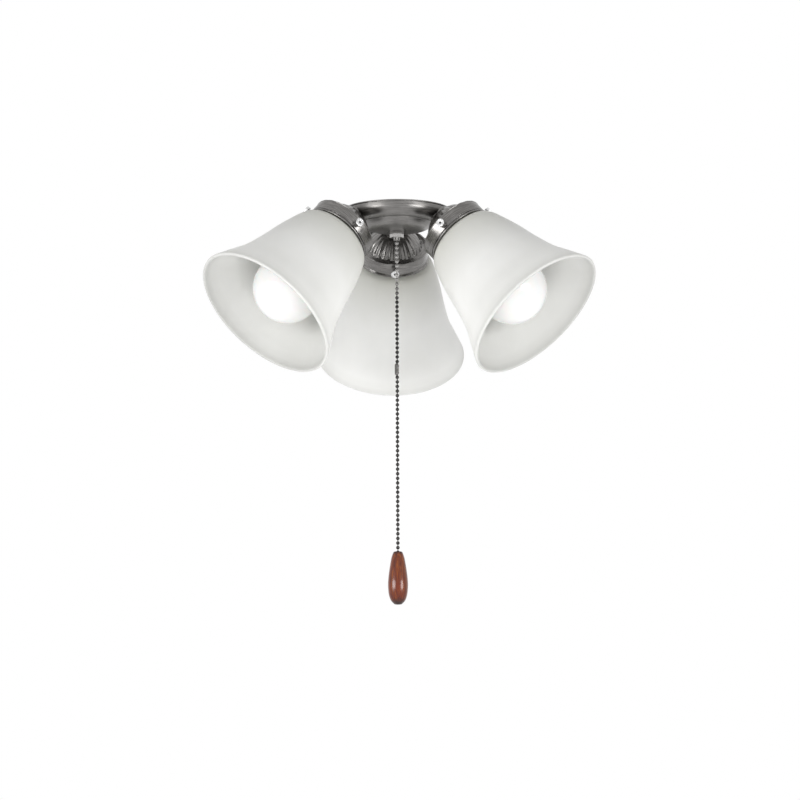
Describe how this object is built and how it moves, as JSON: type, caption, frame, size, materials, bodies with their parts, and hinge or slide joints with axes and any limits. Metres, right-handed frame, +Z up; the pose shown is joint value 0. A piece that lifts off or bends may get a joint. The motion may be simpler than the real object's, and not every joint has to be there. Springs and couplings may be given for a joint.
{
  "type": "ceiling fan light kit",
  "caption": "Light kit for the underside of a ceiling fan: stepped round pan, tilted fluted cups with flared frosted glass shades and lamps, and a ball-chain pull with a turned wooden fob.",
  "frame": {"origin": "the kit's vertical axis at the flat rim plane that meets the fan", "axes": "+Z up towards the fan, front faces -Y with one arm at the back, +X to the right of the front view"},
  "size_m": [0.337, 0.31, 0.3528],
  "materials": {
    "pan_metal": "spun and brushed, dark pewter plated",
    "cup_metal": "brushed, dark pewter plated, fluted crown",
    "screw_metal": "polished, knurled",
    "zinc": "zinc plated",
    "porcelain": "white glazed",
    "contact_brass": "plain",
    "frosted_glass": "frosted, white inside",
    "lamp_glass": "opal white",
    "lamp_base": "threaded",
    "lamp_insulator": "black glass",
    "lamp_tip": "soldered",
    "switch_case": "moulded",
    "switch_metal": "dark pewter plated",
    "chain_metal": "polished nickel",
    "coupling_metal": "nickel plated",
    "walnut": "turned, lacquered walnut",
    "washer_brass": "plain"
  },
  "bodies": {
    "kit": {"housing_pan": "pan_metal", "mounting_plate": "zinc", "mounting_stem": "zinc", "arm_nuts": "zinc", "shade_cup_back": "cup_metal", "arm_nipple_back": "zinc", "socket_body_back": "porcelain", "socket_shell_back": "contact_brass", "socket_tongue_back": "contact_brass", "glass_shade_back": "frosted_glass", "shade_cup_left": "cup_metal", "arm_nipple_left": "zinc", "socket_body_left": "porcelain", "socket_shell_left": "contact_brass", "socket_tongue_left": "contact_brass", "glass_shade_left": "frosted_glass", "shade_cup_right": "cup_metal", "arm_nipple_right": "zinc", "socket_body_right": "porcelain", "socket_shell_right": "contact_brass", "socket_tongue_right": "contact_brass", "glass_shade_right": "frosted_glass", "switch_body": "switch_case", "switch_bushing": "switch_metal", "switch_nut": "switch_metal"},
    "pull_stem": {"switch_plunger": "chain_metal"},
    "exit_bead": {"chain_swivel_bead": "chain_metal"},
    "chain_top": {"chain_upper": "chain_metal"},
    "coupling": {"chain_coupling": "coupling_metal"},
    "chain_bottom": {"chain_lower": "chain_metal"},
    "fob": {"chain_end": "chain_metal", "pull_fob": "walnut", "fob_washer": "washer_brass"},
    "lamp_back": {"bulb_glass_back": "lamp_glass", "bulb_base_back": "lamp_base", "bulb_insulator_back": "lamp_insulator", "bulb_tip_back": "lamp_tip"},
    "lamp_left": {"bulb_glass_left": "lamp_glass", "bulb_base_left": "lamp_base", "bulb_insulator_left": "lamp_insulator", "bulb_tip_left": "lamp_tip"},
    "lamp_right": {"bulb_glass_right": "lamp_glass", "bulb_base_right": "lamp_base", "bulb_insulator_right": "lamp_insulator", "bulb_tip_right": "lamp_tip"},
    "screw_back_1": {"thumbscrew_back_1": "screw_metal"},
    "screw_back_2": {"thumbscrew_back_2": "screw_metal"},
    "screw_back_3": {"thumbscrew_back_3": "screw_metal"},
    "screw_left_1": {"thumbscrew_left_1": "screw_metal"},
    "screw_left_2": {"thumbscrew_left_2": "screw_metal"},
    "screw_left_3": {"thumbscrew_left_3": "screw_metal"},
    "screw_right_1": {"thumbscrew_right_1": "screw_metal"},
    "screw_right_2": {"thumbscrew_right_2": "screw_metal"},
    "screw_right_3": {"thumbscrew_right_3": "screw_metal"}
  },
  "joints": [
    {"name": "switch_pull", "type": "slide", "parent": "kit", "child": "pull_stem", "axis": [0, 0, -1], "range_m": [0, 0.008], "stiffness_N_per_m": 400, "springref_m": -0.012},
    {"name": "chain_swing_fore", "type": "hinge", "parent": "pull_stem", "child": "exit_bead", "pos_m": [0, 0, -0.0298], "axis": [1, 0, 0], "range_deg": [-18, 18]},
    {"name": "chain_swing_side", "type": "hinge", "parent": "exit_bead", "child": "chain_top", "pos_m": [0, 0, -0.0298], "axis": [0, 1, 0], "range_deg": [-18, 18]},
    {"name": "coupling_swing_fore", "type": "hinge", "parent": "chain_top", "child": "coupling", "pos_m": [0, 0, -0.13834], "axis": [1, 0, 0], "range_deg": [-12, 12]},
    {"name": "lower_swing_side", "type": "hinge", "parent": "coupling", "child": "chain_bottom", "pos_m": [0, 0, -0.14414], "axis": [0, 1, 0], "range_deg": [-12, 12]},
    {"name": "fob_swing_fore", "type": "hinge", "parent": "chain_bottom", "child": "fob", "pos_m": [0, 0, -0.2969], "axis": [1, 0, 0], "range_deg": [-18, 18]},
    {"name": "lamp_turn_back", "type": "hinge", "parent": "kit", "child": "lamp_back", "pos_m": [0, 0.0631, -0.031], "axis": [0, 0.6947, -0.7193], "range_deg": [0, 360]},
    {"name": "lamp_turn_left", "type": "hinge", "parent": "kit", "child": "lamp_left", "pos_m": [-0.05465, -0.03155, -0.031], "axis": [-0.6016, -0.3473, -0.7193], "range_deg": [0, 360]},
    {"name": "lamp_turn_right", "type": "hinge", "parent": "kit", "child": "lamp_right", "pos_m": [0.05465, -0.03155, -0.031], "axis": [0.6016, -0.3473, -0.7193], "range_deg": [0, 360]},
    {"name": "screw_back_off_back_1", "type": "slide", "parent": "kit", "child": "screw_back_1", "axis": [-0.866, 0.3597, 0.3473], "range_m": [0, 0.003]},
    {"name": "screw_back_off_back_2", "type": "slide", "parent": "kit", "child": "screw_back_2", "axis": [0, -0.7193, -0.6947], "range_m": [0, 0.003]},
    {"name": "screw_back_off_back_3", "type": "slide", "parent": "kit", "child": "screw_back_3", "axis": [0.866, 0.3597, 0.3473], "range_m": [0, 0.003]},
    {"name": "screw_back_off_left_1", "type": "slide", "parent": "kit", "child": "screw_left_1", "axis": [0.4438, -0.8941, 0.0605], "range_m": [0, 0.003]},
    {"name": "screw_back_off_left_2", "type": "slide", "parent": "kit", "child": "screw_left_2", "axis": [0.3533, 0.692, -0.6296], "range_m": [0, 0.003]},
    {"name": "screw_back_off_left_3", "type": "slide", "parent": "kit", "child": "screw_left_3", "axis": [-0.7971, 0.2021, 0.569], "range_m": [0, 0.003]},
    {"name": "screw_back_off_right_1", "type": "slide", "parent": "kit", "child": "screw_right_1", "axis": [0.7971, 0.2021, 0.569], "range_m": [0, 0.003]},
    {"name": "screw_back_off_right_2", "type": "slide", "parent": "kit", "child": "screw_right_2", "axis": [-0.3533, 0.692, -0.6296], "range_m": [0, 0.003]},
    {"name": "screw_back_off_right_3", "type": "slide", "parent": "kit", "child": "screw_right_3", "axis": [-0.4438, -0.8941, 0.0605], "range_m": [0, 0.003]}
  ]
}
